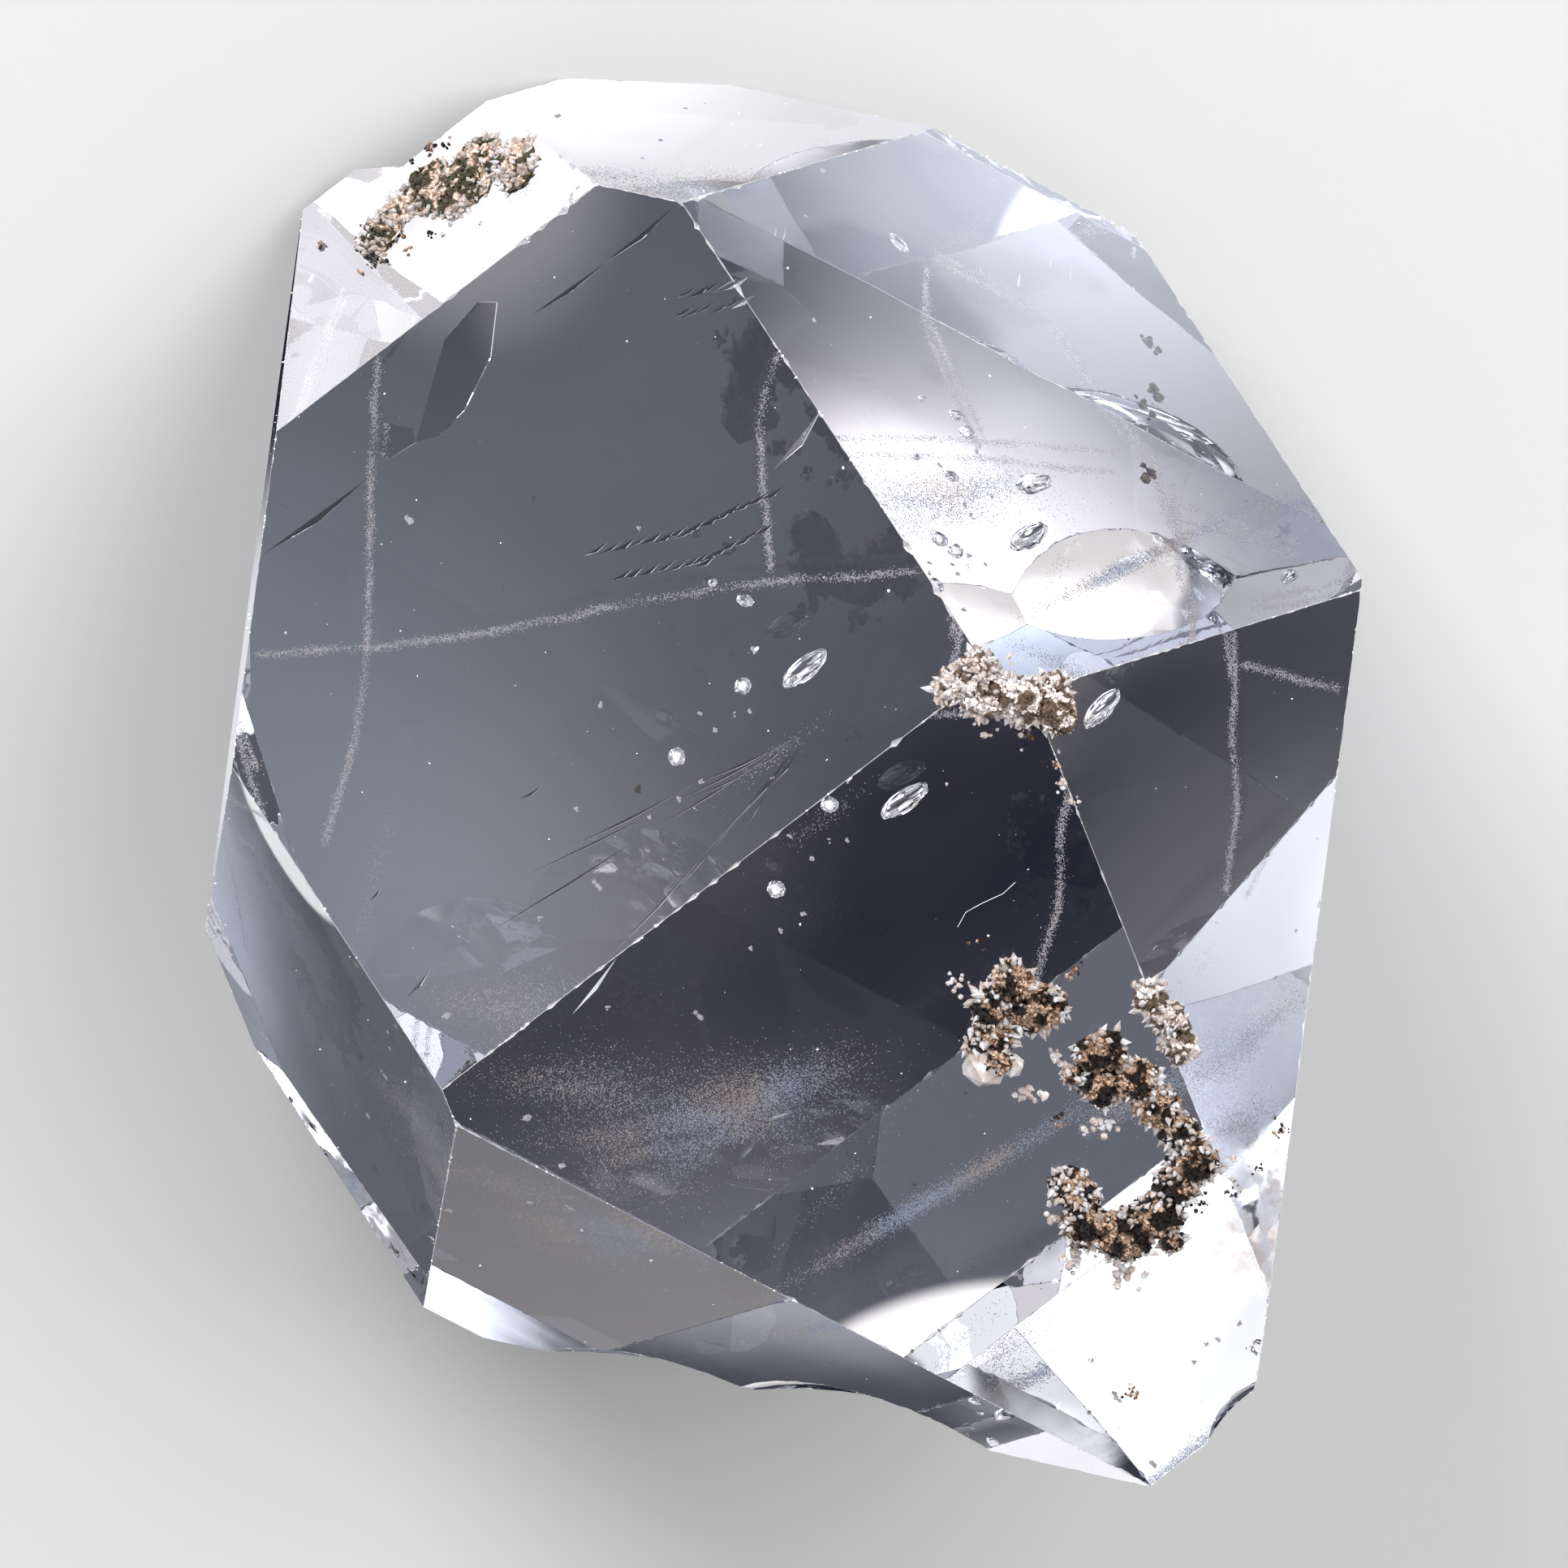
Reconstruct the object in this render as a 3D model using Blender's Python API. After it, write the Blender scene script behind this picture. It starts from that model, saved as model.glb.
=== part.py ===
"""A quartz crystal with a point at both ends, the kind called a herkimer diamond, lying on one of its faces.

The crystal is one grown piece: six long faces round an axis and six sloping faces at each end.
A natural crystal keeps the angles of quartz but lets each face grow at its own pace, so the angles
below are constants and the distance of each face from the middle is a dimension.
Five patches of brown mineral crust, with small quartz crystals in them, sit on its faces.

The crystal is built upright round its own axis, in millimetres from its middle, and is then tipped
over by the angle of a sloping face, so that its largest face is level and carries it.
"""

import math

import bmesh
import bpy
from mathutils import Matrix, Vector, noise

MM = 0.001

# The angle between a sloping face's normal and the crystal's axis is the same in all quartz.
SLOPE_ANGLE = math.radians(51.787)
SECTORS = 6

# How far each face lies from the middle, in millimetres. Sector 0 faces up once the crystal lies
# down, and the others follow round the axis, 60 degrees apart.
LONG_FACES = (4.00, 5.07, 5.56, 4.36, 5.36, 4.94)
HIGH_POINT_FACES = (4.11, 5.14, 5.84, 5.47, 5.32, 5.06)
LOW_POINT_FACES = (6.13, 5.45, 5.20, 2.85, 5.72, 6.45)
REST_SECTOR = 3  # its face on the low point is the largest, and the crystal lies on it

# Growth stopped early along the ridge of the low point. The ridge is blunt at this height along the
# axis, and beyond a riser parallel to the low point's face in RISER_SECTOR it steps further down.
RIDGE_HEIGHT = 7.03
STEP_HEIGHT = 6.67
STEP_RISER = 3.71
RISER_SECTOR = 4

# Curved scars where quartz flaked off. Each is the edge between two faces, the faces at the two ends
# of that edge, the share of the way between them, the radius of the scar, and how deep it bites.
FLAKES = (
    ("high 1", "high 2", "long 2", "high 3", 0.27, 4.2, 0.20),
    ("high 1", "high 2", "long 2", "high 3", 0.57, 3.0, 0.36),
    ("high 0", "high 3", "high 4", "high 1", 0.00, 0.9, 0.20),
)

# The crust keeps this gap to the crystal, and its lumps are rough by this share of their size.
CRUST_GAP = 0.012
CRUST_ROUGHNESS = 0.32
CRUST_GRAIN = 1.9
LUMP_SUBDIVISIONS = 2

# Each patch is a list of lumps: the face they sit on, their place across and along that face from
# the foot of its normal, their two half widths and their height, all in millimetres.
CRUSTS = {
    "ridge_crust": (
        ("low 0", -0.42, -2.90, 0.30, 0.26, 0.15),
        ("low 0", -0.74, -3.02, 0.28, 0.24, 0.16),
        ("low 0", -1.10, -2.98, 0.34, 0.34, 0.19),
        ("low 0", -1.44, -2.66, 0.38, 0.36, 0.22),
        ("low 0", -1.68, -2.84, 0.30, 0.34, 0.20),
        ("low 0", -2.02, -2.42, 0.26, 0.40, 0.13),
    ),
    "corner_crust": (
        ("long 0", -3.02, 1.44, 0.24, 0.18, 0.12),
        ("long 0", -3.30, 1.50, 0.22, 0.22, 0.16),
        ("high 0", -3.20, -1.06, 0.26, 0.20, 0.16),
        ("high 0", -3.44, -0.80, 0.26, 0.26, 0.20),
        ("high 0", -3.60, -0.50, 0.22, 0.26, 0.20),
        ("high 5", 1.16, -1.50, 0.22, 0.20, 0.14),
    ),
    "druse_crust": (
        ("high 0", -1.42, 1.50, 0.26, 0.26, 0.20),
        ("high 0", -1.46, 1.86, 0.30, 0.26, 0.23),
        ("high 0", -1.12, 1.56, 0.24, 0.24, 0.17),
        ("high 0", -0.90, 1.80, 0.28, 0.24, 0.15),
    ),
    "crescent_crust": (
        ("high 0", -1.60, 2.66, 0.28, 0.26, 0.24),
        ("high 0", -1.42, 2.90, 0.26, 0.24, 0.22),
        ("high 0", -1.68, 3.08, 0.26, 0.28, 0.20),
        ("high 0", -1.66, 3.42, 0.22, 0.30, 0.18),
        ("high 0", -1.66, 3.80, 0.20, 0.30, 0.15),
        ("high 0", -1.54, 4.14, 0.26, 0.26, 0.17),
        ("high 0", -1.24, 4.24, 0.26, 0.24, 0.17),
        ("high 0", -0.92, 4.36, 0.30, 0.28, 0.22),
        ("high 0", -0.54, 4.32, 0.32, 0.30, 0.22),
        ("high 0", -0.32, 4.00, 0.26, 0.28, 0.19),
        ("high 0", -0.48, 3.62, 0.22, 0.28, 0.15),
    ),
    "edge_crust": (
        ("high 0", -2.34, 2.54, 0.18, 0.22, 0.12),
        ("high 0", -2.34, 2.80, 0.18, 0.22, 0.14),
        ("high 0", -2.24, 3.06, 0.17, 0.24, 0.13),
    ),
}

# Small clear crystals in the crust, on the high point's sector 0: place, half width and height.
SMALL_CRYSTALS = (
    ("druse_crust", -0.80, 2.02, 0.22, 0.20),
    ("crescent_crust", -0.86, 4.66, 0.17, 0.15),
    ("crescent_crust", -1.26, 2.62, 0.14, 0.14),
)


def axis_normal(sector):
    turn = math.radians(360 / SECTORS) * sector
    return Vector((math.cos(turn), math.sin(turn), 0))


def face_plane(face):
    """(normal, distance from the middle in millimetres) of a face, such as "long 0" or "low 3"."""
    kind, sector = face.split()
    sector = int(sector)
    if kind == "long":
        return axis_normal(sector), LONG_FACES[sector]
    distance = HIGH_POINT_FACES[sector] if kind == "high" else LOW_POINT_FACES[sector]
    along = math.cos(SLOPE_ANGLE) if kind == "high" else -math.cos(SLOPE_ANGLE)
    return math.sin(SLOPE_ANGLE) * axis_normal(sector) + Vector((0, 0, along)), distance


FACES = [f"{kind} {sector}" for kind in ("long", "high", "low") for sector in range(SECTORS)]


def corner_of(planes):
    """The point, in millimetres, where three planes meet."""
    rows = Matrix([normal for normal, _ in planes])
    return rows.inverted() @ Vector([distance for _, distance in planes])


def face_spot(face, across, along):
    """(point, matrix) on a face: across it, along it towards the high point, and out of it."""
    normal, distance = face_plane(face)
    uphill = (Vector((0, 0, 1)) - normal * normal.z).normalized()
    sideways = uphill.cross(normal)
    point = normal * distance + sideways * across + uphill * along
    axes = Matrix((sideways, uphill, normal)).transposed().to_4x4()
    return Matrix.Translation(point * MM) @ axes


def collection(name, hidden=False):
    made = bpy.data.collections.new(name)
    bpy.context.scene.collection.children.link(made)
    made.hide_render = hidden
    return made


def material(name, color, roughness, transmission=0.0, ior=1.5):
    made = bpy.data.materials.new(name)
    made.use_nodes = True
    made.diffuse_color = (*color, 1)
    shader = made.node_tree.nodes["Principled BSDF"]
    shader.inputs["Base Color"].default_value = (*color, 1)
    shader.inputs["Roughness"].default_value = roughness
    shader.inputs["Metallic"].default_value = 0
    shader.inputs["Transmission Weight"].default_value = transmission
    shader.inputs["IOR"].default_value = ior
    return made


def object_from(bm, name, where, finish):
    mesh = bpy.data.meshes.new(name)
    bm.to_mesh(mesh)
    bm.free()
    mesh.materials.append(finish)
    made = bpy.data.objects.new(name, mesh)
    where.objects.link(made)
    if where.hide_render:
        made.hide_render = True
        made.display_type = "WIRE"
    return made


def block_cut_to(planes):
    """A large cube, cut back to each plane in turn, with every cut closed by a face."""
    block_side = 40 * MM
    bm = bmesh.new()
    bmesh.ops.create_cube(bm, size=block_side)
    for normal, distance in planes:
        geometry = bm.verts[:] + bm.edges[:] + bm.faces[:]
        cut = bmesh.ops.bisect_plane(
            bm, geom=geometry, plane_co=normal * distance * MM, plane_no=normal, clear_outer=True
        )
        rim = [part for part in cut["geom_cut"] if isinstance(part, bmesh.types.BMEdge)]
        if rim:
            bmesh.ops.contextual_create(bm, geom=rim)
    bmesh.ops.recalc_face_normals(bm, faces=bm.faces[:])
    return bm


def boolean(target, other, operation, solver="EXACT"):
    cut = target.modifiers.new(other.name, "BOOLEAN")
    cut.operation = operation
    cut.solver = solver
    cut.object = other


def flake_cutter(name, first, second, start, end, share, radius, depth, where, finish):
    """A ball that bites into the edge between two faces, centred outside the crystal."""
    start_corner = corner_of([face_plane(face) for face in (first, second, start)])
    end_corner = corner_of([face_plane(face) for face in (first, second, end)])
    outward = (face_plane(first)[0] + face_plane(second)[0]).normalized()
    centre = start_corner.lerp(end_corner, share) + outward * (radius - depth)
    bm = bmesh.new()
    bmesh.ops.create_uvsphere(bm, u_segments=48, v_segments=32, radius=radius * MM)
    bmesh.ops.translate(bm, verts=bm.verts[:], vec=centre * MM)
    return object_from(bm, name, where, finish)


def crystal(parts, cutters, finish):
    """All 18 faces and the blunt ridge cut from one block, then the step and the flakes taken off."""
    down_axis = Vector((0, 0, -1))
    planes = [face_plane(face) for face in FACES] + [(down_axis, RIDGE_HEIGHT)]
    made = object_from(block_cut_to(planes), "crystal", parts, finish)
    riser_normal, _ = face_plane(f"low {RISER_SECTOR}")
    step = block_cut_to([(-down_axis, -STEP_HEIGHT), (-riser_normal, -STEP_RISER)])
    boolean(made, object_from(step, "ridge_step", cutters, finish), "DIFFERENCE")
    for number, flake in enumerate(FLAKES, 1):
        boolean(made, flake_cutter(f"flake_{number}", *flake, cutters, finish), "DIFFERENCE")
    return made


def lump(face, across, along, half_width, half_length, height):
    """A rough pebble of crust, half sunk in its face."""
    bm = bmesh.new()
    bmesh.ops.create_icosphere(bm, subdivisions=LUMP_SUBDIVISIONS, radius=1)
    seed = Vector((across, along, height)) * 10  # far enough apart for each lump to differ
    for vert in bm.verts:
        vert.co *= 1 + CRUST_ROUGHNESS * noise.noise(vert.co * CRUST_GRAIN + seed)
    size = Matrix.Diagonal((half_width * MM, half_length * MM, height * MM, 1))
    bm.transform(face_spot(face, across, along) @ size)
    return bm


def small_crystal(across, along, half_width, height):
    """A stub of a six-sided crystal with a blunt point, standing on the face."""
    bm = bmesh.new()
    bmesh.ops.create_cone(
        bm, cap_ends=True, segments=SECTORS, radius1=half_width * MM, radius2=half_width * MM,
        depth=2 * height * MM,
    )
    top = [face for face in bm.faces if face.normal.z > 0.5]
    bmesh.ops.scale(bm, vec=(0.6, 0.6, 1), verts=[v for face in top for v in face.verts])
    turn = Matrix.Rotation(across * 7, 4, "Z")
    bm.transform(face_spot("high 0", across, along) @ turn)
    return bm


def crust(name, lumps, clearance, parts, cutters, finish):
    """Lumps joined into one body and cut away where the crystal and a small gap to it begin."""
    first, *others = lumps
    made = object_from(lump(*first), name, parts, finish)
    for number, sizes in enumerate(others, 2):
        other = object_from(lump(*sizes), f"{name}_lump_{number}", cutters, finish)
        boolean(made, other, "UNION", "MANIFOLD")
    for number, (owner, *sizes) in enumerate(SMALL_CRYSTALS, 1):
        if owner == name:
            stub = object_from(small_crystal(*sizes), f"{name}_stub_{number}", cutters, finish)
            boolean(made, stub, "UNION", "MANIFOLD")
    boolean(made, clearance, "DIFFERENCE", "MANIFOLD")
    return made


def lay_down(parts, helpers):
    """Tips everything until the rest face is level, with the bottom centre of its box at the origin."""
    tip = Matrix.Rotation(-SLOPE_ANGLE, 4, "Y")
    _, rest_distance = face_plane(f"low {REST_SECTOR}")
    bpy.context.view_layer.update()
    graph = bpy.context.evaluated_depsgraph_get()
    points = [tip @ vert.co for part in parts for vert in part.evaluated_get(graph).data.vertices]
    low = Vector(min(point[axis] for point in points) for axis in range(3))
    high = Vector(max(point[axis] for point in points) for axis in range(3))
    middle = (low + high) / 2
    place = Matrix.Translation((-middle.x, -middle.y, rest_distance * MM)) @ tip
    for made in (*parts, *helpers):
        made.matrix_world = place


def main():
    for old in list(bpy.data.objects):
        bpy.data.objects.remove(old)
    parts = collection("herkimer_diamond")
    cutters = collection("cutters", hidden=True)
    clear = material("clear_quartz", (0.93, 0.95, 0.98), 0.02, transmission=1.0, ior=1.547)
    brown = material("brown_crust", (0.24, 0.15, 0.09), 0.85)

    stone = crystal(parts, cutters, clear)
    grown = [(normal, distance + CRUST_GAP) for normal, distance in map(face_plane, FACES)]
    clearance = object_from(block_cut_to(grown), "clearance", cutters, clear)
    crusts = [crust(name, lumps, clearance, parts, cutters, brown) for name, lumps in CRUSTS.items()]
    lay_down([stone, *crusts], cutters.objects)


main()
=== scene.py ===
# %% [markdown]
# # A clear quartz crystal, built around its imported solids
# The real thing is a herkimer diamond: a loose quartz crystal with a point at both ends, as clear
# as glass, with patches of brown crust on it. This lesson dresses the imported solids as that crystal.
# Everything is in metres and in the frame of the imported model, so a piece goes where it belongs.

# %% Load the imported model
import bisect
import math
import random

import bmesh
import bpy
from mathutils import Matrix, Vector, noise
from mathutils.bvhtree import BVHTree


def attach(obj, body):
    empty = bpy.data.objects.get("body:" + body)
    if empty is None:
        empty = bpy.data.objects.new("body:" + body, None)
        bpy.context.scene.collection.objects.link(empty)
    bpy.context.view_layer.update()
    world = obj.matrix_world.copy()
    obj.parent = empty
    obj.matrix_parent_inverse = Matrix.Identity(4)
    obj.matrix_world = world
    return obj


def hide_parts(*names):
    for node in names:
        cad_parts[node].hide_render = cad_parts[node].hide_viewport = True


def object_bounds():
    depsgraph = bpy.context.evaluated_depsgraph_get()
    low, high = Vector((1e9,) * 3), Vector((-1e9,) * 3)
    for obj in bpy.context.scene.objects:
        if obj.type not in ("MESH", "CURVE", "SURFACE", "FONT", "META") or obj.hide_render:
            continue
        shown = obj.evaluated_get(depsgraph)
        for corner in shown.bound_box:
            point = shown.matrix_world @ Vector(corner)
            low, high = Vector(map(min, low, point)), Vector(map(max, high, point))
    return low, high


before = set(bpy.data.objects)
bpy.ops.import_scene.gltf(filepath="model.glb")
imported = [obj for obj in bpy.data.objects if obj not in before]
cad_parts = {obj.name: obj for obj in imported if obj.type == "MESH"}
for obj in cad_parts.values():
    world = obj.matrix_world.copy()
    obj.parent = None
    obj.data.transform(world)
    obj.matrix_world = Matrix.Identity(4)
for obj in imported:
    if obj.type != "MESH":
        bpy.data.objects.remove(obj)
cad_low, cad_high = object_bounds()
MM = 0.001
noise.seed_set(1)  # without a seed, vector noise would differ from run to run
print("packed nodes:", sorted(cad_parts))
print("size in mm:", [round(side / MM, 2) for side in cad_high - cad_low])

# %% [markdown]
# ## The camera
# The photograph looks down on the crystal from above and to one side, and its edges run parallel,
# as in a picture taken from far off. A very long lens does that. The frame is a square, and 125 of
# its 1932 pixels are a millimetre, so the lens and the distance follow from its width.

# %% Set up the camera
PHOTO_SIDE = 1932
PIXEL = 0.008 * MM
VIEW_DIRECTION = Vector((0.3522, -0.2419, 0.9041)).normalized()
VIEW_UP = Vector((0.6868, -0.5894, -0.4253))
VIEW_CENTRE = Vector((-0.143, -0.096, 2.848)) * MM
LENS = 1000
SENSOR = 36

view_right = VIEW_UP.cross(VIEW_DIRECTION).normalized()
view_up = VIEW_DIRECTION.cross(view_right)
view_distance = PHOTO_SIDE * PIXEL * LENS / SENSOR

camera_data = bpy.data.cameras.new("camera")
camera_data.lens = LENS
camera_data.sensor_width = SENSOR
camera_data.clip_start = 0.01
camera_data.clip_end = 5
camera = bpy.data.objects.new("camera", camera_data)
camera.matrix_world = Matrix.Translation(VIEW_CENTRE + VIEW_DIRECTION * view_distance) @ Matrix(
    (view_right, view_up, VIEW_DIRECTION)
).transposed().to_4x4()
bpy.context.scene.collection.objects.link(camera)
bpy.context.scene.camera = camera
print("camera distance in mm:", round(view_distance / MM))


# %% [markdown]
# ## Finding places on and inside the crystal
# Most of what makes this crystal real is small: threads, bubbles, grains. Each has a place in the
# photograph, so a helper turns a pixel into a line of sight and finds where it meets the crystal.
# Light bends as it enters quartz, so a thing inside is found along the bent line of sight.

# %% Lines of sight
QUARTZ_IOR = 1.547
SKIN_GAP = 0.01 * MM  # a ray inside starts this far in, so that it misses the face it came through

crystal_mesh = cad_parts["crystal"].data
crystal_tree = BVHTree.FromPolygons(
    [vertex.co.copy() for vertex in crystal_mesh.vertices],
    [tuple(face.vertices) for face in crystal_mesh.polygons],
)
eye = camera.matrix_world.translation.copy()


def sight(x, y):
    """The direction from the camera through pixel (x, y) of the photograph."""
    across = (x - PHOTO_SIDE / 2) * PIXEL
    down = (y - PHOTO_SIDE / 2) * PIXEL
    return (VIEW_CENTRE + view_right * across - view_up * down - eye).normalized()


def on_face(x, y):
    """(point, normal) where the line of sight through a pixel meets the crystal."""
    point, normal, _, _ = crystal_tree.ray_cast(eye, sight(x, y))
    return point, normal


def bent(ray, normal):
    """The ray's direction once it has entered the quartz."""
    slope = -ray.dot(normal)
    inner = math.sqrt(1 - (1 - slope * slope) / QUARTZ_IOR**2)
    return (ray / QUARTZ_IOR + normal * (slope / QUARTZ_IOR - inner)).normalized()


def inside(x, y, share):
    """(point, normal) on the bent line of sight, at a share of the way to the hidden face."""
    point, normal = on_face(x, y)
    ray = bent(sight(x, y), normal)
    far, far_normal, _, _ = crystal_tree.ray_cast(point + ray * SKIN_GAP, ray)
    return point.lerp(far, share), far_normal


print("middle of the photograph:", [round(part / MM, 2) for part in on_face(966, 966)[0]])

# %% [markdown]
# ## The floor and the light
# The floor is a plain pale card. A clear crystal that is lit from its sides looks dark in the
# middle. So what shows through it is a matter of its own: rays that leave the quartz don't see the
# pale floor but a dim room, a little lighter above, with soft round lamps near the crystal. A lamp
# is a disc that only shows through the crystal and in it.

# %% The floor
FLOOR_SIDE = 4.0
FLOOR_GAP = -0.01 * MM  # keeps the floor out of rays that run along inside the resting face
FLOOR_COLOR = (0.42, 0.42, 0.42, 1)


def plain_material(name, color, roughness):
    made = bpy.data.materials.new(name)
    made.use_nodes = True
    shader = made.node_tree.nodes["Principled BSDF"]
    shader.inputs["Base Color"].default_value = color
    shader.inputs["Roughness"].default_value = roughness
    return made


def object_from(bm, name, material):
    mesh = bpy.data.meshes.new(name)
    bm.to_mesh(mesh)
    bm.free()
    mesh.materials.append(material)
    made = bpy.data.objects.new(name, mesh)
    bpy.context.scene.collection.objects.link(made)
    return made


floor_mesh = bmesh.new()
bmesh.ops.create_grid(floor_mesh, x_segments=1, y_segments=1, size=FLOOR_SIDE / 2)
floor = object_from(floor_mesh, "floor", plain_material("pale_floor", FLOOR_COLOR, 0.9))
floor.location.z = FLOOR_GAP
floor.visible_transmission = False
floor.visible_glossy = False
print("floor side in m:", FLOOR_SIDE)

# %% [markdown]
# ## The room
# A world shows every ray the same colour unless it is told otherwise. The Light Path node knows
# which rays leave the quartz: those see a dim room, and all the others see a pale one.

# %% The room
ROOM_BELOW = (0.010, 0.012, 0.024, 1)
ROOM_ABOVE = (0.014, 0.015, 0.028, 1)
PALE_SURROUNDINGS = (0.75, 0.75, 0.76, 1)

world = bpy.data.worlds.new("room")
world.use_nodes = True
bpy.context.scene.world = world
nodes = world.node_tree.nodes
links = world.node_tree.links
nodes.clear()
place = nodes.new("ShaderNodeTexCoord")
upward = nodes.new("ShaderNodeVectorMath")
upward.operation = "DOT_PRODUCT"
upward.inputs[1].default_value = view_up
links.new(place.outputs["Generated"], upward.inputs[0])
fade = nodes.new("ShaderNodeMapRange")
fade.inputs["From Min"].default_value = -1
links.new(upward.outputs["Value"], fade.inputs["Value"])
room = nodes.new("ShaderNodeMix")
room.data_type = "RGBA"
room.inputs["A"].default_value = ROOM_BELOW
room.inputs["B"].default_value = ROOM_ABOVE
links.new(fade.outputs["Result"], room.inputs["Factor"])
through = nodes.new("ShaderNodeLightPath")
shown = nodes.new("ShaderNodeMix")
shown.data_type = "RGBA"
shown.inputs["A"].default_value = PALE_SURROUNDINGS
seen_through = nodes.new("ShaderNodeMath")
seen_through.operation = "MAXIMUM"
links.new(through.outputs["Is Transmission Ray"], seen_through.inputs[0])
links.new(through.outputs["Is Glossy Ray"], seen_through.inputs[1])
links.new(seen_through.outputs["Value"], shown.inputs["Factor"])
links.new(room.outputs["Result"], shown.inputs["B"])
light = nodes.new("ShaderNodeBackground")
links.new(shown.outputs["Result"], light.inputs["Color"])
out = nodes.new("ShaderNodeOutputWorld")
links.new(light.outputs["Background"], out.inputs["Surface"])
print("world nodes:", len(nodes))

# %% [markdown]
# ## The lamps round the crystal
# A clear crystal has hardly a colour of its own: a face shows whatever its bent rays run into. So
# each face has its own grey and its own soft edge of light, and what stands round the crystal sets
# them. Here that is a number of round sheets whose glow fades towards the rim. All of them keep
# clear of the crystal, and no camera, floor or crust sees them, only rays that left quartz.

# %% The lamps' places
# direction as an angle round the picture (0 is right, 90 is up) and an angle towards the camera;
# half angle; soft edge; distance in mm; colour; and the direction that it faces, where it
# doesn't face the crystal's middle
PANELS = {
    "side_panel": (54, -7, 5, 6, 29, (12.25, 12.87, 14.73)),
    "low_left_panel": (138, -27, 15, 1, 77, (7.4, 7.1, 7.3)),
    "right_foot_panel": (15, -48, 6, 6, 34, (2.31, 2.57, 3.10)),
    "mirror_panel": (175, 23, 20, 22, 89, (2.32, 2.40, 2.68)),
    "far_lower_panel": (234, -11, 16, 8, 222, (1.90, 1.90, 1.98)),
    "under_left_panel": (183, -58, 7, 7, 30, (1.83, 1.70, 1.67)),
    "upper_panel": (95, 39, 11, 5, 44, (1.39, 1.40, 1.55)),
    "top_panel": (104, 6, 11, 5, 396, (1.40, 1.38, 1.42)),
    "under_foot_panel": (308, -47, 8, 1, 25, (1.15, 1.15, 1.14)),
    "near_foot_panel": (288, 24, 7, 8, 22, (0.95, 0.99, 1.15)),
    "foot_panel": (265.4, 14, 8.9, 8.9, 13.64, (1.34, 1.28, 1.30), (264, 1)),
    "under_right_panel": (19, -58, 19, 9, 286, (0.69, 0.66, 0.66)),
    "right_panel": (312, 41, 13, 14, 24, (0.45, 0.45, 0.50)),
    "front_panel": (234, 53, 31, 1, 219, (0.85, 0.80, 0.79)),
    "far_right_panel": (8, 15, 44, 9, 399, (0.33, 0.35, 0.40)),
    "back_panel": (92, -29, 17, 1, 28, (0.36, 0.36, 0.38)),
    "cool_panel": (142, -21, 33, 25, 279, (0.18, 0.19, 0.22)),
    "behind_left_panel": (316, -78, 3, 1, 31, (0.18, 0.17, 0.17)),
    "behind_panel": (267, -65, 4, 18, 10, (0.13, 0.12, 0.14)),
    "behind_foot_panel": (262, -71, 7, 9, 22, (0.10, 0.12, 0.15)),
    "near_lower_panel": (269, 17, 9, 1, 35, (0.08, 0.09, 0.12)),
    "tip_panel": (181, 55, 12, 6, 150, (0.50, 0.48, 0.46)),
    "foot_left_panel": (260.8, 14, 7.6, 1.9, 11.94, (0.50, 0.47, 0.48), (257, 5)),
    "ledge_panel": (283, 0, 11, 5, 200, (0.95, 0.93, 0.94)),
    "low_tip_panel": (243, 10, 10, 5, 200, (0.70, 0.70, 0.70)),
    "arc_panel": (284.8, -51.3, 17.9, 0.5, 9.9, (1.10, 1.06, 1.04), (130, -66)),
    "corner_panel": (26.3, -53.8, 5.4, 0.5, 7.44, (1.00, 1.00, 1.00), (27, -89)),
    "edge_panel": (172, -60, 10, 3, 15, (0.80, 0.80, 0.86)),
}


def photo_direction(azimuth, elevation):
    """A direction given as angles in the photograph, as the table's are."""
    a = math.radians(azimuth)
    e = math.radians(elevation)
    return (
        view_right * (math.cos(a) * math.cos(e))
        + view_up * (math.sin(a) * math.cos(e))
        + VIEW_DIRECTION * math.sin(e)
    )


print("lamps in the table:", len(PANELS), "brightest:", max(PANELS, key=lambda name: max(PANELS[name][5])))

# %% Make the lamps
PANEL_SIDES = 64


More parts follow.
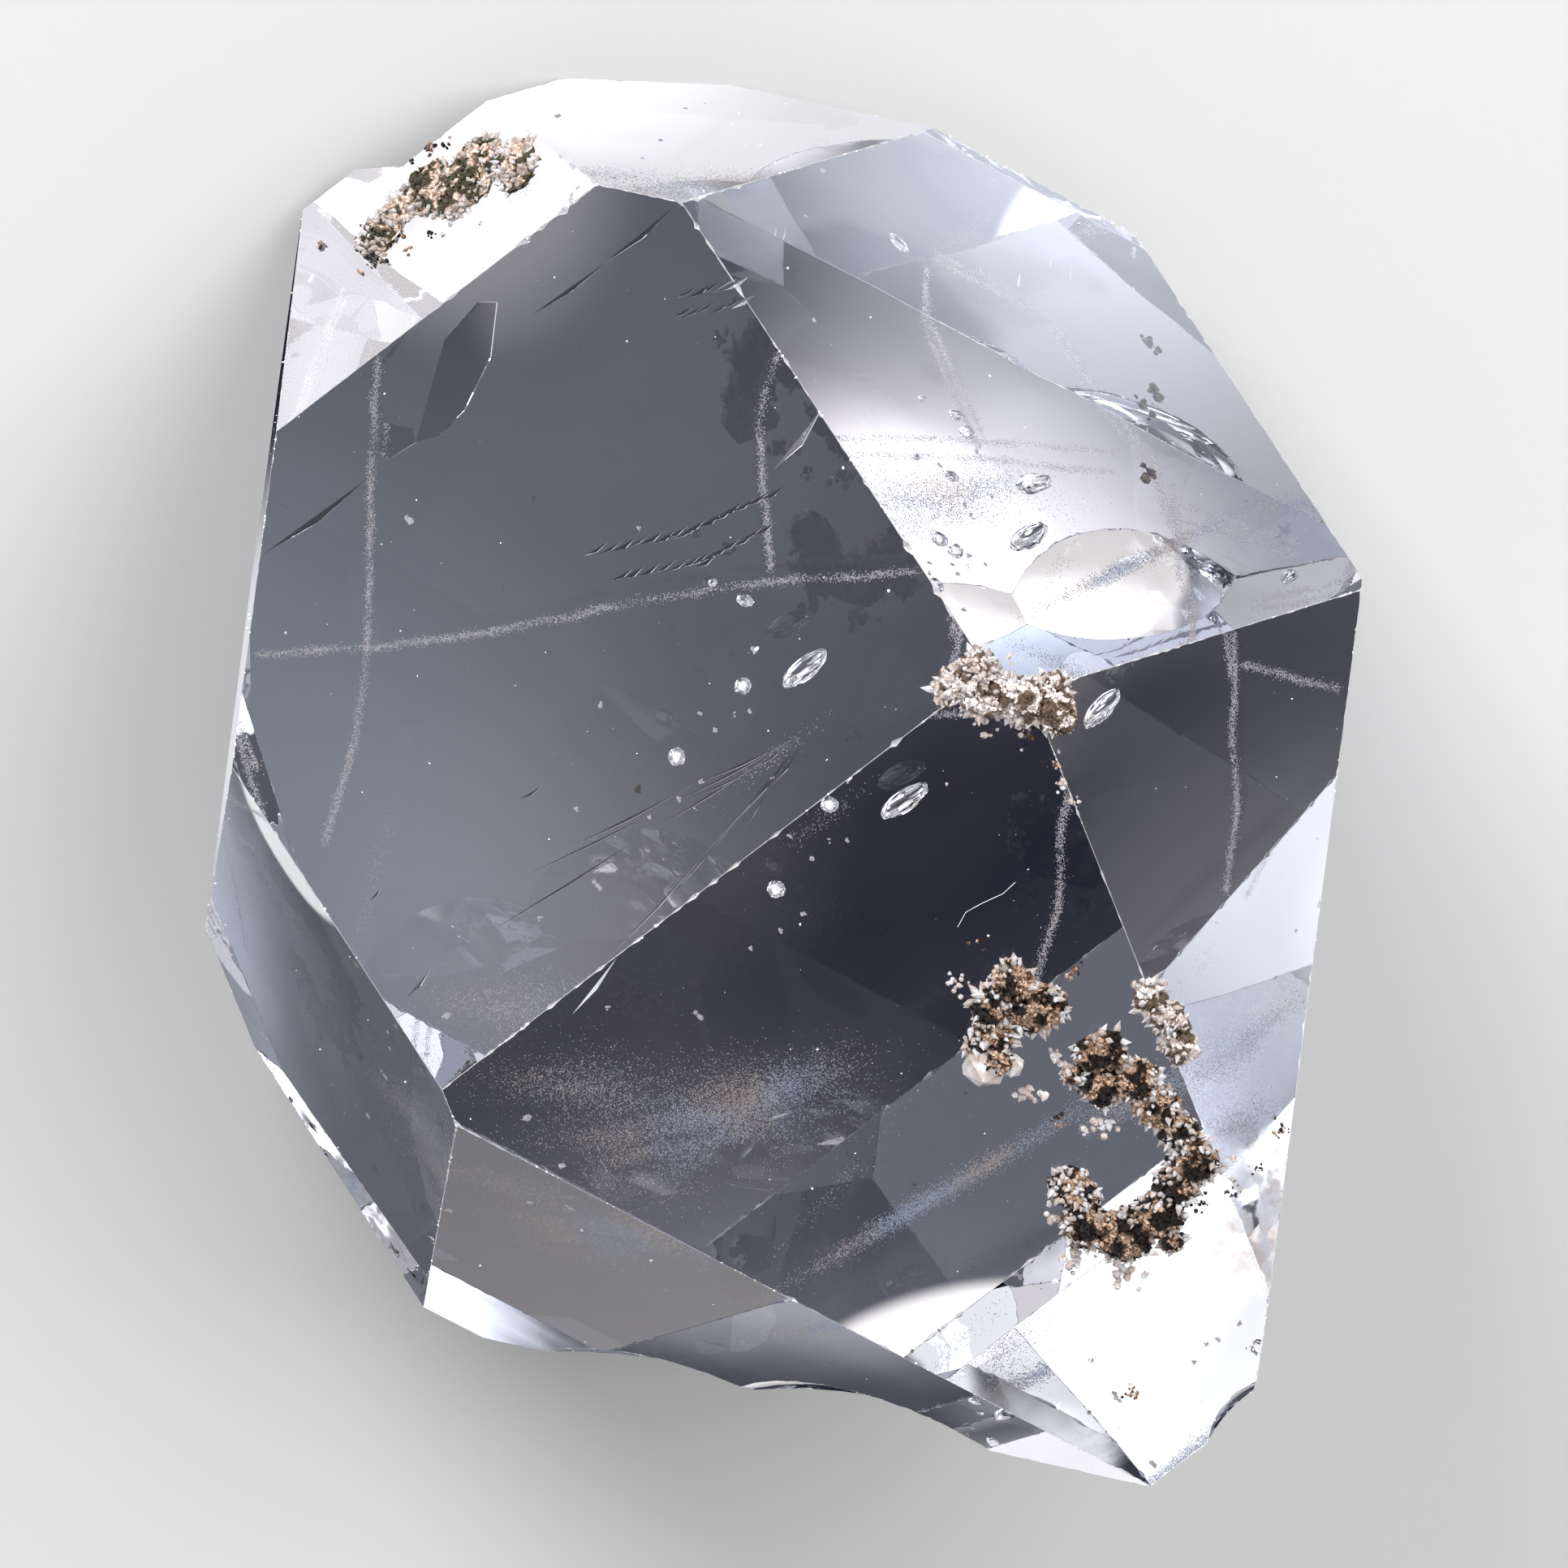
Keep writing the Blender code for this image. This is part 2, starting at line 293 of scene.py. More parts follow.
def panel(name, azimuth, elevation, half_angle, soft, distance, color, faces=None):
    """A round sheet of light that fades towards its rim. Its width in mm is given back."""
    direction = photo_direction(azimuth, elevation)
    facing = photo_direction(*faces) if faces else direction
    rim = distance * MM * math.tan(math.radians(half_angle + soft))
    core = distance * MM * math.tan(math.radians(max(half_angle - soft, 0.0)))
    bm = bmesh.new()
    bmesh.ops.create_circle(bm, cap_ends=True, segments=PANEL_SIDES, radius=rim)
    material = bpy.data.materials.new(name)
    material.use_nodes = True
    tree = material.node_tree
    tree.nodes.clear()
    place = tree.nodes.new("ShaderNodeTexCoord")
    reach = tree.nodes.new("ShaderNodeVectorMath")
    reach.operation = "LENGTH"
    tree.links.new(place.outputs["Object"], reach.inputs[0])
    fade = tree.nodes.new("ShaderNodeMapRange")
    fade.interpolation_type = "SMOOTHSTEP"
    fade.inputs["From Min"].default_value = rim
    fade.inputs["From Max"].default_value = core
    tree.links.new(reach.outputs["Value"], fade.inputs["Value"])
    glow = tree.nodes.new("ShaderNodeEmission")
    glow.inputs["Color"].default_value = (*color, 1)
    tree.links.new(fade.outputs["Result"], glow.inputs["Strength"])
    clear = tree.nodes.new("ShaderNodeBsdfTransparent")
    both = tree.nodes.new("ShaderNodeAddShader")
    tree.links.new(glow.outputs["Emission"], both.inputs[0])
    tree.links.new(clear.outputs["BSDF"], both.inputs[1])
    out = tree.nodes.new("ShaderNodeOutputMaterial")
    tree.links.new(both.outputs["Shader"], out.inputs["Surface"])
    made = object_from(bm, name, material)
    made.matrix_world = Matrix.Translation(VIEW_CENTRE + direction * distance * MM) @ (
        facing.to_track_quat("Z", "Y").to_matrix().to_4x4()
    )
    made.visible_camera = False
    made.visible_diffuse = False
    made.visible_shadow = False
    material.cycles.emission_sampling = "NONE"
    return 2 * rim / MM


widths = [panel(name, *sizes) for name, sizes in PANELS.items()]
print("lamp widths in mm:", round(min(widths), 1), "to", round(max(widths)))

# %% [markdown]
# ## Key and fill
# The floor and the crust are lit as in any studio: a key light from the upper left and a wider,
# weaker fill from the right, both half a metre off, which is far for a crystal this small.

# %% The key and fill lights on floor and crust
STUDIO_DISTANCE = 0.5
# direction round the picture and towards the camera, width in metres, power in watts
STUDIO_LAMPS = {"key_lamp": (120, 45, 0.25, 4.6), "fill_lamp": (20, 55, 0.40, 3.0)}


def lamp(name, azimuth, elevation, size, power):
    data = bpy.data.lights.new(name, "AREA")
    data.shape = "DISK"
    data.size = size
    data.energy = power
    made = bpy.data.objects.new(name, data)
    direction = photo_direction(azimuth, elevation)
    made.matrix_world = Matrix.Translation(VIEW_CENTRE + direction * STUDIO_DISTANCE) @ (
        direction.to_track_quat("Z", "Y").to_matrix().to_4x4()
    )
    made.visible_transmission = False
    made.visible_glossy = False
    bpy.context.scene.collection.objects.link(made)


for name, sizes in STUDIO_LAMPS.items():
    lamp(name, *sizes)
print("studio lamps:", len(STUDIO_LAMPS))

# %% [markdown]
# ## The crystal
# The real crystal grew with eighteen flat faces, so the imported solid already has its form. What a
# solid of flat faces lacks is wear: every edge of a loose crystal is a row of tiny chips, and they
# show as white beads because each small facet throws the light its own way. A bevel of even width
# would look like a machined block. Here the sharp edges are cut into short uneven pieces, bevelled
# by a hair, and then the middle row of points is pressed in where noise says that a chip is.

# %% The crystal's faces
FLAT_AREA = 0.25 * MM**2  # a face this large is a crystal face, a smaller one is part of a scar
SHARP_ANGLE = math.radians(24)
SAME_PLANE = math.radians(0.5)
WELD_DISTANCE = 0.0005 * MM

body_mesh = bmesh.new()
body_mesh.from_mesh(crystal_mesh)
bmesh.ops.remove_doubles(body_mesh, verts=body_mesh.verts[:], dist=WELD_DISTANCE)
bmesh.ops.dissolve_limit(
    body_mesh, angle_limit=SAME_PLANE, verts=body_mesh.verts[:], edges=body_mesh.edges[:]
)
for face in body_mesh.faces:
    face.smooth = face.calc_area() < FLAT_AREA
print("crystal faces:", len(body_mesh.faces), "flat:", sum(not face.smooth for face in body_mesh.faces))

# %% Its edges, cut into short uneven pieces
CHIP_LENGTH = 0.07 * MM
CHIP_SHIFT = 0.3  # how far a point may slide along its edge, in chip lengths

rng = random.Random(4)


def find_worn_edges():
    return [
        edge for edge in body_mesh.edges
        if edge.calc_face_angle(0) > SHARP_ANGLE and not all(face.smooth for face in edge.link_faces)
    ]


long_edges = [
    (edge.verts[0].co.copy(), edge.verts[1].co.copy(), sum((f.normal for f in edge.link_faces), Vector()))
    for edge in find_worn_edges()
]
for edge in find_worn_edges():
    along = (edge.verts[1].co - edge.verts[0].co).normalized()
    cuts = int(edge.calc_length() / CHIP_LENGTH)
    if cuts < 1:
        continue
    made = bmesh.ops.subdivide_edges(body_mesh, edges=[edge], cuts=cuts)
    for vertex in made["geom_inner"]:
        if isinstance(vertex, bmesh.types.BMVert):
            vertex.co += along * rng.uniform(-CHIP_SHIFT, CHIP_SHIFT) * CHIP_LENGTH
worn_edges = find_worn_edges()
print("worn edge pieces:", len(worn_edges))

# %% The bevel and its chips
BEVEL_WIDTH = 0.005 * MM
CHIP_DEPTH = 0.020 * MM
CHIP_SPREAD = 0.020 * MM
CHIP_GROUP = 2.2 * MM  # chips come in groups about this far apart
CHIP_RARITY = 5  # the higher, the fewer chips are large
CHIP_GAIN = 2.2
QUIET_EDGE = 0.06  # how much is left of the chips between the groups
CLEAR_CHIP = 0.3  # a chip this large can be seen

beveled = bmesh.ops.bevel(
    body_mesh, geom=worn_edges, offset=BEVEL_WIDTH, segments=2, affect="EDGES", profile=0.5,
    clamp_overlap=True,
)
strip = set(beveled["faces"])
for face in strip:
    face.smooth = False
    face.material_index = 1  # the worn edges get a frosted material of their own
body_mesh.normal_update()
chips = 0
for vertex in body_mesh.verts:
    if not all(face in strip for face in vertex.link_faces) or len(vertex.link_faces) != 4:
        continue
    rails = [
        edge.other_vert(vertex) for edge in vertex.link_edges
        if any(face not in strip for face in edge.other_vert(vertex).link_faces)
    ]
    if len(rails) != 2:
        continue
    grouped = 0.5 + noise.noise(vertex.co / CHIP_GROUP)
    size = rng.random() ** CHIP_RARITY * max(grouped, QUIET_EDGE) * CHIP_GAIN
    crest = vertex.co.copy()
    vertex.co += ((rails[0].co + rails[1].co) / 2 - crest).normalized() * size * CHIP_DEPTH
    for rail in rails:
        wide = [face for face in rail.link_faces if face not in strip]
        if len(wide) != 1 or wide[0].smooth:
            continue
        away = rail.co - crest
        away -= wide[0].normal * away.dot(wide[0].normal)
        rail.co += away.normalized() * size * CHIP_SPREAD * rng.uniform(0.5, 1.2)
    chips += size > CLEAR_CHIP
print("chips:", chips)

# %% [markdown]
# ## Growth marks
# The large face is not perfect: it carries shallow scars where a neighbour grew against it, rows of
# short strokes and a fan of fine lines. They look dark, because their floors lean and send the
# bent rays away from the lamps. Bump would only fake that from one side, so they are cut: thin
# blocks with a sloping foot, sunk a few hundredths of a millimetre, are taken away by one Boolean.

# %% Helpers that cut marks
CUT_START = 0.001 * MM  # how deep a cut is along its shallow side
CUT_HEAD = 0.2 * MM  # how far the cutting block stands out of the face


def ellipsoid(bm, centre, axes, radii, subdivisions=3):
    """A ball stretched along three axes that stand square to each other."""
    columns = [axis * radius for axis, radius in zip(axes, radii)]
    matrix = Matrix.Translation(centre) @ Matrix(columns).transposed().to_4x4()
    return bmesh.ops.create_icosphere(bm, subdivisions=subdivisions, radius=1, matrix=matrix)["verts"]


def sloped_cut(bm, outline, tilt):
    """A block whose foot slopes down into the face, away from the line of its first two points."""
    places = [on_face(*pixel)[0] for pixel in outline]
    normal = on_face(*outline[0])[1]
    hinge = (places[1] - places[0]).normalized()
    down_slope = hinge.cross(normal).normalized()
    if (places[2] - places[0]).dot(down_slope) < 0:
        down_slope = -down_slope
    foot = []
    head = []
    for place in places:
        depth = (place - places[0]).dot(down_slope) * math.tan(math.radians(tilt)) + CUT_START
        foot.append(bm.verts.new(place - normal * depth))
        head.append(bm.verts.new(place + normal * CUT_HEAD))
    sides = [bm.faces.new(foot), bm.faces.new(head)]
    for index, corner in enumerate(foot):
        after = (index + 1) % len(foot)
        sides.append(bm.faces.new((corner, foot[after], head[after], head[index])))
    bmesh.ops.recalc_face_normals(bm, faces=sides)


def leaf(bm, points, width, tilt):
    """A sloped cut shaped like a thin leaf along a line of pixels, its width in pixels."""
    for start, end in zip(points, points[1:]):
        along = Vector((end[0] - start[0], end[1] - start[1]))
        aside = Vector((-along.y, along.x)).normalized() * width
        middle = ((start[0] + end[0]) / 2, (start[1] + end[1]) / 2)
        outline = [start, end, (middle[0] + aside.x, middle[1] + aside.y)]
        sloped_cut(bm, outline, tilt)


print("cutting helpers ready")

# %% Where the marks are
# outlines, and lines with a width, in the photograph's pixels
DARK_PATCHES = [
    [(548, 418), (512, 545), (540, 538), (572, 505), (604, 440), (612, 372), (588, 372)],
    [(470, 520), (466, 560), (478, 566), (512, 545), (508, 528)],
]
LEAVES = [
    ([(322, 684), (452, 590)], 8), ([(655, 388), (748, 322)], 5), ([(742, 326), (834, 252)], 6),
    ([(952, 580), (1012, 506)], 8), ([(640, 985), (668, 968)], 3), ([(500, 1230), (530, 1195)], 4),
    ([(455, 1110), (470, 1092)], 3), ([(705, 1250), (760, 1180)], 5),
]
# rows of short strokes, from and to
STROKES = [
    ((735, 676), (850, 654)), ((842, 657), (948, 606)), ((765, 708), (868, 690)), ((860, 692), (940, 650)),
    ((845, 360), (905, 350)), ((840, 385), (915, 372)),
]
STROKE_LENGTH = 34
STROKE_STEP = 15
STROKE_SLOPE = 30
FAN_ROOT = (1000, 900)
FAN_TIPS = [(640, 1082), (600, 1150), (700, 1045), (810, 1120), (745, 1185), (850, 985), (900, 1040)]
FAN_BEND = 7
PATCH_TILT = 5
LEAF_TILT = 25  # a leaf that leans this far to the lower right shows dark

marks = bmesh.new()
for outline in DARK_PATCHES:
    sloped_cut(marks, outline, PATCH_TILT)
for points, width in LEAVES:
    leaf(marks, points, width, LEAF_TILT)
for tip in FAN_TIPS:
    spread = rng.uniform(0.04, 0.2)
    start = [root + (far - root) * spread for root, far in zip(FAN_ROOT, tip)]
    middle = [(root * 0.5 + far * 0.5) + rng.uniform(-FAN_BEND, FAN_BEND) for root, far in zip(FAN_ROOT, tip)]
    leaf(marks, [middle, start], rng.uniform(2.5, 5), LEAF_TILT)
    leaf(marks, [tip, middle], rng.uniform(1.5, 3.5), LEAF_TILT)
rise = math.radians(STROKE_SLOPE)
reach = (math.cos(rise) * STROKE_LENGTH / 2, math.sin(rise) * STROKE_LENGTH / 2)
strokes = 0
for start, end in STROKES:
    count = int(math.dist(start, end) / STROKE_STEP)
    for step in range(count + 1):
        x = start[0] + (end[0] - start[0]) * step / count + rng.uniform(-3, 3)
        y = start[1] + (end[1] - start[1]) * step / count + rng.uniform(-2, 2)
        stroke = [(x - reach[0], y + reach[1]), (x + reach[0], y - reach[1])]
        leaf(marks, stroke, rng.uniform(3, 5.5), LEAF_TILT)
        strokes += 1
print("growth marks:", len(DARK_PATCHES) + len(LEAVES) + 2 * len(FAN_TIPS), "strokes:", strokes)

# %% Cut them
clear_quartz = bpy.data.materials.new("clear_quartz")
worn_quartz = bpy.data.materials.new("worn_quartz")
uncut = object_from(body_mesh, "uncut_crystal", clear_quartz)
uncut.data.materials.append(worn_quartz)
cutter = object_from(marks, "growth_marks", clear_quartz)
cut = uncut.modifiers.new("marks", "BOOLEAN")
cut.operation = "DIFFERENCE"
cut.solver = "EXACT"
cut.use_self = True
cut.object = cutter
scene_state = bpy.context.evaluated_depsgraph_get()
cut_mesh = bpy.data.meshes.new_from_object(uncut.evaluated_get(scene_state))
body_mesh = bmesh.new()
body_mesh.from_mesh(cut_mesh)
bpy.data.objects.remove(uncut)
bpy.data.objects.remove(cutter)
bpy.data.meshes.remove(cut_mesh)
for edge in body_mesh.edges:
    edge.smooth = edge.calc_face_angle(0) < SHARP_ANGLE
print("faces after the cut:", len(body_mesh.faces))
print("volume in mm3:", round(body_mesh.calc_volume() / MM**3, 1))

# %% [markdown]
# ## Bubbles
# A few little hollows are sealed in the quartz. In a solid of glass a hollow is an inner skin whose
# faces point into the hollow, so it is part of the crystal's own mesh. Its rim mirrors the light
# wholly, which is why a bubble shows as a bright ring.

# %% Bubbles in the crystal
# place in the photograph, share of the way to the hidden face, length, width and height in mm, turn
BUBBLES = [
    (990, 825, 0.92, 0.54, 0.23, 0.22, 38),
    (1108, 300, 0.15, 0.26, 0.13, 0.10, -50),
    (915, 845, 0.82, 0.17, 0.17, 0.16, 0),
    (833, 932, 0.93, 0.18, 0.17, 0.17, 0),
    (918, 740, 0.90, 0.19, 0.13, 0.13, -20),
    (878, 718, 0.90, 0.09, 0.08, 0.07, 10),
]
DENT_DEPTH = 0.22  # of the bubble's radius
WIDE_DENT = 0.12 * MM
SMALL_DENT = 0.03 * MM


def hollow(bm, x, y, share, length, width, height, turn):
    centre, _ = inside(x, y, share)
    angle = math.radians(turn)
    along = view_right * math.cos(angle) + view_up * math.sin(angle)
    side = VIEW_DIRECTION.cross(along)
    radii = [size * MM / 2 for size in (length, width, height)]
    skin = ellipsoid(bm, centre, (along, side, VIEW_DIRECTION), radii)
    for vertex in skin:
        dents = noise.noise(vertex.co / WIDE_DENT) + 0.6 * noise.noise(vertex.co / SMALL_DENT)
        vertex.co += (vertex.co - centre) * DENT_DEPTH * dents
    faces = list({face for vertex in skin for face in vertex.link_faces})
    for face in faces:
        face.smooth = True
    bmesh.ops.reverse_faces(bm, faces=faces)


for bubble in BUBBLES:
    hollow(body_mesh, *bubble)
print("bubbles:", len(BUBBLES))

# %% [markdown]
# ## Shared patterns
# Dirt, frost and colour in stone all vary in patches. One node group makes such a patchy mask, and
# each material places it with its own scale and limits. It puts out a mask and nothing else.

# %% The patch mask group
def patch_group():
    group = bpy.data.node_groups.new("patches", "ShaderNodeTree")
    for name, value in (("Scale", 5.0), ("Roughness", 0.5), ("From", 0.4), ("To", 0.6)):
        socket = group.interface.new_socket(name, in_out="INPUT", socket_type="NodeSocketFloat")
        socket.default_value = value
    group.interface.new_socket("Mask", in_out="OUTPUT", socket_type="NodeSocketFloat")
    given = group.nodes.new("NodeGroupInput")
    result = group.nodes.new("NodeGroupOutput")
    place = group.nodes.new("ShaderNodeTexCoord")
    clouds = group.nodes.new("ShaderNodeTexNoise")
    clouds.inputs["Detail"].default_value = 2
    limits = group.nodes.new("ShaderNodeMapRange")
    limits.interpolation_type = "SMOOTHSTEP"
    group.links.new(place.outputs["Object"], clouds.inputs["Vector"])
    group.links.new(given.outputs["Scale"], clouds.inputs["Scale"])
    group.links.new(given.outputs["Roughness"], clouds.inputs["Roughness"])
    group.links.new(clouds.outputs["Fac"], limits.inputs["Value"])
    group.links.new(given.outputs["From"], limits.inputs["From Min"])
    group.links.new(given.outputs["To"], limits.inputs["From Max"])
    group.links.new(limits.outputs["Result"], result.inputs["Mask"])
    return group


patches = patch_group()
print("patches takes:", [socket.name for socket in patches.interface.items_tree])


# %% Masks and colours in a material
def patch(tree, size, start, end, roughness=0.5):
    """A patchy mask in a material: size is how large its patches are, in mm."""
    node = tree.nodes.new("ShaderNodeGroup")
    node.node_tree = patches
    node.inputs["Scale"].default_value = 1 / (size * MM)
    node.inputs["Roughness"].default_value = roughness
    node.inputs["From"].default_value = start
    node.inputs["To"].default_value = end
    return node.outputs["Mask"]


def near_point(tree, point, full, none):
    """A mask that is 1 near a point of the object and fades to 0, by distance in mm."""
    place = tree.nodes.new("ShaderNodeTexCoord")
    reach = tree.nodes.new("ShaderNodeVectorMath")
    reach.operation = "DISTANCE"
    reach.inputs[1].default_value = point
    tree.links.new(place.outputs["Object"], reach.inputs[0])
    fade = tree.nodes.new("ShaderNodeMapRange")
    fade.interpolation_type = "SMOOTHSTEP"
    fade.inputs["From Min"].default_value = none * MM
    fade.inputs["From Max"].default_value = full * MM
    tree.links.new(reach.outputs["Value"], fade.inputs["Value"])
    return fade.outputs["Result"]


def combine(tree, operation, first, second):
    """Two masks, or a mask and a number, put together."""
    node = tree.nodes.new("ShaderNodeMath")
    node.operation = operation
    for socket, value in zip(node.inputs, (first, second)):
        if isinstance(value, (int, float)):
            socket.default_value = value
        else:
            tree.links.new(value, socket)
    return node.outputs["Value"]


def blend_color(tree, mask, first, second):
    """first where the mask is 0, second where it is 1; each is a colour or a socket."""
    node = tree.nodes.new("ShaderNodeMix")
    node.data_type = "RGBA"
    tree.links.new(mask, node.inputs["Factor"])
    for name, value in (("A", first), ("B", second)):
        if isinstance(value, tuple):
            node.inputs[name].default_value = (*value, 1)
        else:
            tree.links.new(value, node.inputs[name])
    return node.outputs["Result"]


print("mask helpers ready")

# %% [markdown]
# ## Clear quartz
# Quartz bends light by 1.547 and swallows almost none of it, so the material is plain glass with a
# trace of grey in its depth. Two things keep it from looking like a computer's glass: its faces
# wave by a fraction of a degree, and near one corner they are frosted and stained.

# %% The quartz material
WAVE_SIZE = 2.2
WAVE_HEIGHT = 0.003
FROST_PIXEL = (1560, 1500)
FROST_FULL = 0.3  # mm from the corner
FROST_END = 1.1
FROST_ROUGHNESS = 0.55
STAIN_COLOR = (0.80, 0.66, 0.56)
DEPTH_COLOR = (0.72, 0.76, 0.84, 1)
DEPTH_DENSITY = 18  # per metre

clear_quartz.use_nodes = True
tree = clear_quartz.node_tree
shader = tree.nodes["Principled BSDF"]
shader.inputs["IOR"].default_value = QUARTZ_IOR
shader.inputs["Transmission Weight"].default_value = 1
frosted = near_point(tree, on_face(*FROST_PIXEL)[0], FROST_FULL, FROST_END)
cloudy = combine(tree, "MULTIPLY", frosted, patch(tree, 0.30, 0.38, 0.62))
tree.links.new(combine(tree, "MULTIPLY", cloudy, FROST_ROUGHNESS), shader.inputs["Roughness"])
stained = combine(tree, "MULTIPLY", frosted, patch(tree, 0.13, 0.48, 0.62))
tree.links.new(blend_color(tree, stained, (1, 1, 1), STAIN_COLOR), shader.inputs["Base Color"])
waves = tree.nodes.new("ShaderNodeBump")
waves.inputs["Distance"].default_value = WAVE_HEIGHT * MM
tree.links.new(patch(tree, WAVE_SIZE, 0.2, 0.8, 0.2), waves.inputs["Height"])
tree.links.new(waves.outputs["Normal"], shader.inputs["Normal"])
depth_grey = tree.nodes.new("ShaderNodeVolumeAbsorption")
depth_grey.inputs["Color"].default_value = DEPTH_COLOR
depth_grey.inputs["Density"].default_value = DEPTH_DENSITY
tree.links.new(depth_grey.outputs["Volume"], tree.nodes["Material Output"].inputs["Volume"])
print("clear quartz nodes:", len(tree.nodes))

# %% [markdown]
# ## The worn edges
# A chipped edge is crushed quartz: still clear, but rough, so it scatters light and shows as a
# thin pale line with beads. The bevel's faces get this material, and the crystal is put together.

# %% Frosted quartz for the worn edges
EDGE_COLOR = (0.93, 0.93, 0.95, 1)
EDGE_CLARITY = 0.8
LEAST_ROUGHNESS = 0.2
MORE_ROUGHNESS = 0.5

worn_quartz.use_nodes = True
tree = worn_quartz.node_tree
shader = tree.nodes["Principled BSDF"]
shader.inputs["Base Color"].default_value = EDGE_COLOR
shader.inputs["IOR"].default_value = QUARTZ_IOR
shader.inputs["Transmission Weight"].default_value = EDGE_CLARITY
crushed = combine(tree, "MULTIPLY", patch(tree, 0.25, 0.30, 0.60), MORE_ROUGHNESS)
tree.links.new(combine(tree, "ADD", crushed, LEAST_ROUGHNESS), shader.inputs["Roughness"])

crystal = object_from(body_mesh, "clear_crystal", clear_quartz)
crystal.data.materials.append(worn_quartz)
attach(crystal, "root")
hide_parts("crystal")
print("clear crystal triangles:", sum(len(face.vertices) - 2 for face in crystal.data.polygons))

# %% [markdown]
# ## Crust
# Patches of brown crust sit on the faces: heaps of grains with dark iron stain between them, and
# tiny clear quartz points round their rims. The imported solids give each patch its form. Here a
# slightly smaller core of that form is covered with grains, each a twenty-sided lump with its
# corners pushed about, because a smooth lump with bump would show a smooth outline.

# %% Grains and tiny crystals
def ball_shape(subdivisions):
    """The corners and sides of a ball of flat triangles, radius 1."""
    bm = bmesh.new()
    bmesh.ops.create_icosphere(bm, subdivisions=subdivisions, radius=1)
    corners = [vertex.co.copy() for vertex in bm.verts]
    sides = [[vertex.index for vertex in face.verts] for face in bm.faces]
    bm.free()
    return corners, sides


LUMP = ball_shape(1)


def grain_lump(bm, centre, size, rng, uneven=0.35, shape=LUMP):
    """A stone of flat sides, turned, flattened and with its corners pushed about."""
    turn = Matrix.Rotation(rng.uniform(0, math.tau), 3, Vector((rng.gauss(0, 1) for _ in range(3))))
    stretch = Matrix.Diagonal((1, rng.uniform(0.6, 1), rng.uniform(0.55, 0.9)))
    corners = [
        bm.verts.new(centre + turn @ stretch @ corner * size * rng.uniform(1 - uneven, 1 + uneven))
        for corner in shape[0]
    ]
    for side in shape[1]:
        bm.faces.new([corners[index] for index in side])


def quartz_point(bm, foot, direction, width, length, spin):
    """A six-sided prism with a six-sided point, its foot on the crystal."""
    side = direction.orthogonal().normalized()
    rings = []
    for share, radius in ((0, 0.5), (0.45, 0.48), (0.98, 0.02)):
        ring = []
        for corner in range(6):
            turn = Matrix.Rotation(spin + corner * math.tau / 6, 3, direction)
            ring.append(bm.verts.new(foot + direction * length * share + turn @ side * width * radius))
        rings.append(ring)
    for low_ring, high_ring in zip(rings, rings[1:]):
        for corner in range(6):
            after = (corner + 1) % 6
            bm.faces.new((low_ring[corner], low_ring[after], high_ring[after], high_ring[corner]))
    bm.faces.new(rings[0][::-1])
    bm.faces.new(rings[-1])


class Surface:
    """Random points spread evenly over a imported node's surface."""

    def __init__(self, name):
        self.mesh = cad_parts[name].data
        self.mesh.calc_loop_triangles()
        self.triangles = list(self.mesh.loop_triangles)
        self.totals = []
        total = 0.0
        for triangle in self.triangles:
            total += triangle.area
            self.totals.append(total)

    def point(self, rng):
        index = bisect.bisect(self.totals, rng.random() * self.totals[-1])
        triangle = self.triangles[min(index, len(self.triangles) - 1)]
        a, b, c = (self.mesh.vertices[corner].co for corner in triangle.vertices)
        u, v = rng.random(), rng.random()
        if u + v > 1:
            u, v = 1 - u, 1 - v
        return a + (b - a) * u + (c - a) * v, triangle.normal.copy()


print("lump and point helpers ready")

# %% Materials of the crust
IRON_PATCH = 0.17  # mm
IRON_SHARE = 0.62  # how much of a grain's shade its patch decides
GRAIN_SHARE = 0.42  # and how much is the grain's own
LIGHT_UP_TO = 0.10
MIDDLE_AT = 0.36
DARK_FROM = 0.62
PIT_SIZE = 0.03  # mm
PIT_DEPTH = 0.004
MILKY_CLARITY = 0.62


def crust_material(name, dark, middle, light):
    """Stone whose colour goes from dark to light in patches, each grain a little different."""
    made = bpy.data.materials.new(name)
    made.use_nodes = True
    tree = made.node_tree
    shader = tree.nodes["Principled BSDF"]
    island = tree.nodes.new("ShaderNodeNewGeometry")
    iron = patch(tree, IRON_PATCH, 0.44, 0.56)
    shade = tree.nodes.new("ShaderNodeValToRGB")
    ramp = shade.color_ramp
    ramp.elements[0].position = LIGHT_UP_TO
    ramp.elements[0].color = (*light, 1)
    ramp.elements[1].position = DARK_FROM
    ramp.elements[1].color = (*dark, 1)
    ramp.elements.new(MIDDLE_AT).color = (*middle, 1)
    grain_shift = combine(tree, "MULTIPLY", island.outputs["Random Per Island"], GRAIN_SHARE)
    stained = combine(tree, "MULTIPLY", iron, IRON_SHARE)
    tree.links.new(combine(tree, "ADD", grain_shift, stained), shade.inputs["Fac"])
    tree.links.new(shade.outputs["Color"], shader.inputs["Base Color"])
    rough = combine(tree, "ADD", combine(tree, "MULTIPLY", iron, 0.35), 0.22)
    tree.links.new(rough, shader.inputs["Roughness"])
    pits = tree.nodes.new("ShaderNodeBump")
    pits.inputs["Distance"].default_value = PIT_DEPTH * MM
    tree.links.new(patch(tree, PIT_SIZE, 0.3, 0.7), pits.inputs["Height"])
    tree.links.new(pits.outputs["Normal"], shader.inputs["Normal"])
    return made


